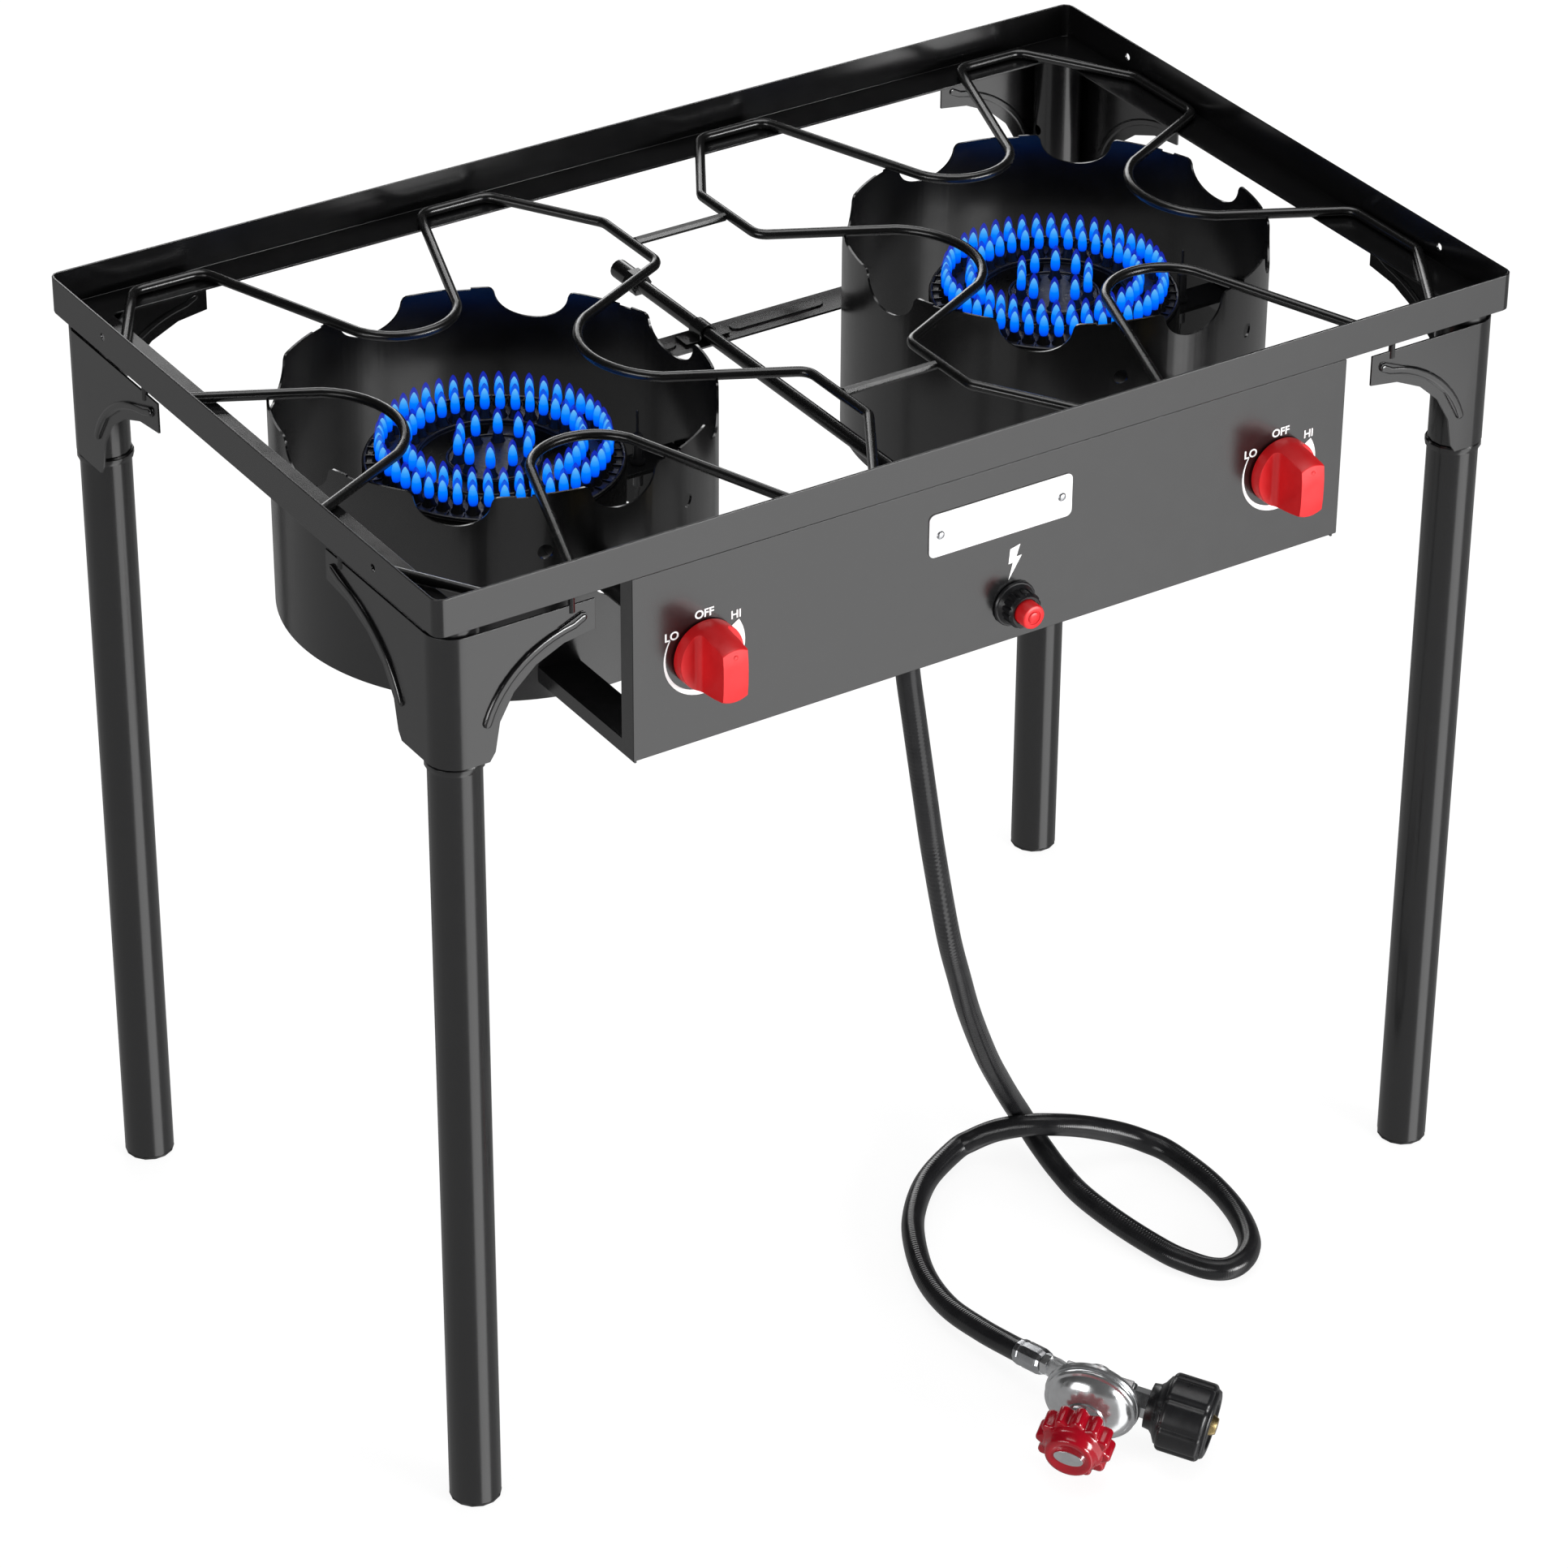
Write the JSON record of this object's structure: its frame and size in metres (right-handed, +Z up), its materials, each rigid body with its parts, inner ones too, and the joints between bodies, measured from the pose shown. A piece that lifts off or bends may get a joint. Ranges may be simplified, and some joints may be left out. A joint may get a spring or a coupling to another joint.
{
  "type": "propane burner stand",
  "caption": "Outdoor gas stove on tube legs: open tray with lift-off wire grate, ring burners in notched wind guards, control panel with knobs and igniter, hose and regulator.",
  "frame": {"origin": "middle of the stove's plan at floor level, hose and regulator left out", "axes": "+X along the tray to the right seen from the front, -Y towards the control panel and the user, +Z up"},
  "size_m": [0.8, 0.7195, 0.68],
  "materials": {
    "black_paint": "satin powder coat",
    "black_plastic": "satin",
    "brass": "machined",
    "cast_iron": "sand cast, matt",
    "ceramic": "glazed ceramic",
    "die_cast": "as cast",
    "foot_plastic": "matt",
    "hose_rubber": "smooth",
    "red_plastic": "glossy",
    "steel": "plated",
    "wire_paint": "satin heat-resistant paint"
  },
  "bodies": {
    "stand": {"bracket_front_left": "black_paint", "bracket_front_right": "black_paint", "bracket_rear_left": "black_paint", "bracket_rear_right": "black_paint", "burner_left": "cast_iron", "burner_right": "cast_iron", "burner_support_left": "black_paint", "burner_support_right": "black_paint", "control_panel": "black_paint", "cross_strap": "black_paint", "electrode_left": "ceramic", "electrode_right": "ceramic", "foot_cap_front_left": "foot_plastic", "foot_cap_front_right": "foot_plastic", "foot_cap_rear_left": "foot_plastic", "foot_cap_rear_right": "foot_plastic", "gas_pipe": "black_paint", "hose": "hose_rubber", "hose_ferrule": "steel", "hose_fitting": "brass", "igniter_body": "black_plastic", "igniter_lead_left": "hose_rubber", "igniter_lead_right": "hose_rubber", "igniter_nut": "black_plastic", "inlet_nipple": "brass", "leg_front_left": "black_paint", "leg_front_right": "black_paint", "leg_rear_left": "black_paint", "leg_rear_right": "black_paint", "leg_socket_front_left": "black_paint", "leg_socket_front_right": "black_paint", "leg_socket_rear_left": "black_paint", "leg_socket_rear_right": "black_paint", "manifold": "black_paint", "panel_arm_left": "black_paint", "panel_arm_right": "black_paint", "pipe_clip": "black_paint", "rear_cap": "black_paint", "rear_fitting": "black_paint", "regulator_body": "die_cast", "tray_frame": "black_paint", "valve_left": "brass", "valve_right": "brass", "venturi_left": "cast_iron", "venturi_right": "cast_iron", "wind_guard_left": "black_paint", "wind_guard_right": "black_paint"},
    "grate": {"grate_left": "wire_paint", "grate_right": "wire_paint", "grate_tie_front": "wire_paint", "grate_tie_rear": "wire_paint"},
    "knob_left": {"knob_left": "red_plastic", "valve_stem_left": "brass"},
    "knob_right": {"knob_right": "red_plastic", "valve_stem_right": "brass"},
    "igniter_button": {"igniter_button": "red_plastic"},
    "air_shutter_left": {"air_shutter_left": "steel"},
    "air_shutter_right": {"air_shutter_right": "steel"},
    "regulator_knob": {"regulator_knob": "red_plastic"},
    "tank_nut": {"tank_nut": "black_plastic"}
  },
  "joints": [
    {"name": "knob_left_turn", "type": "hinge", "parent": "stand", "child": "knob_left", "pos_m": [-0.216, -0.232, 0.59], "axis": [0, -1, 0], "range_deg": [0, 300]},
    {"name": "knob_right_turn", "type": "hinge", "parent": "stand", "child": "knob_right", "pos_m": [0.216, -0.232, 0.59], "axis": [0, -1, 0], "range_deg": [0, 300]},
    {"name": "igniter_press", "type": "slide", "parent": "stand", "child": "igniter_button", "axis": [0, 1, 0], "range_m": [0, 0.004], "stiffness_N_per_m": 300},
    {"name": "air_shutter_left_turn", "type": "hinge", "parent": "stand", "child": "air_shutter_left", "pos_m": [-0.216, -0.1799, 0.59], "axis": [0, -1, 0], "range_deg": [0, 70]},
    {"name": "air_shutter_right_turn", "type": "hinge", "parent": "stand", "child": "air_shutter_right", "pos_m": [0.216, -0.1799, 0.59], "axis": [0, -1, 0], "range_deg": [0, 70]},
    {"name": "regulator_knob_turn", "type": "hinge", "parent": "stand", "child": "regulator_knob", "pos_m": [-0.04568, -0.40768, 0.02894], "axis": [-0.7769, -0.6021, -0.184], "range_deg": [0, 720]},
    {"name": "tank_nut_spin", "type": "hinge", "parent": "stand", "child": "tank_nut", "pos_m": [0.03047, -0.42004, 0.03047], "axis": [0.6271, -0.7661, -0.141], "continuous": true},
    {"name": "grate_lift", "type": "slide", "parent": "stand", "child": "grate", "axis": [0, 0, 1], "range_m": [0, 0.12]}
  ]
}
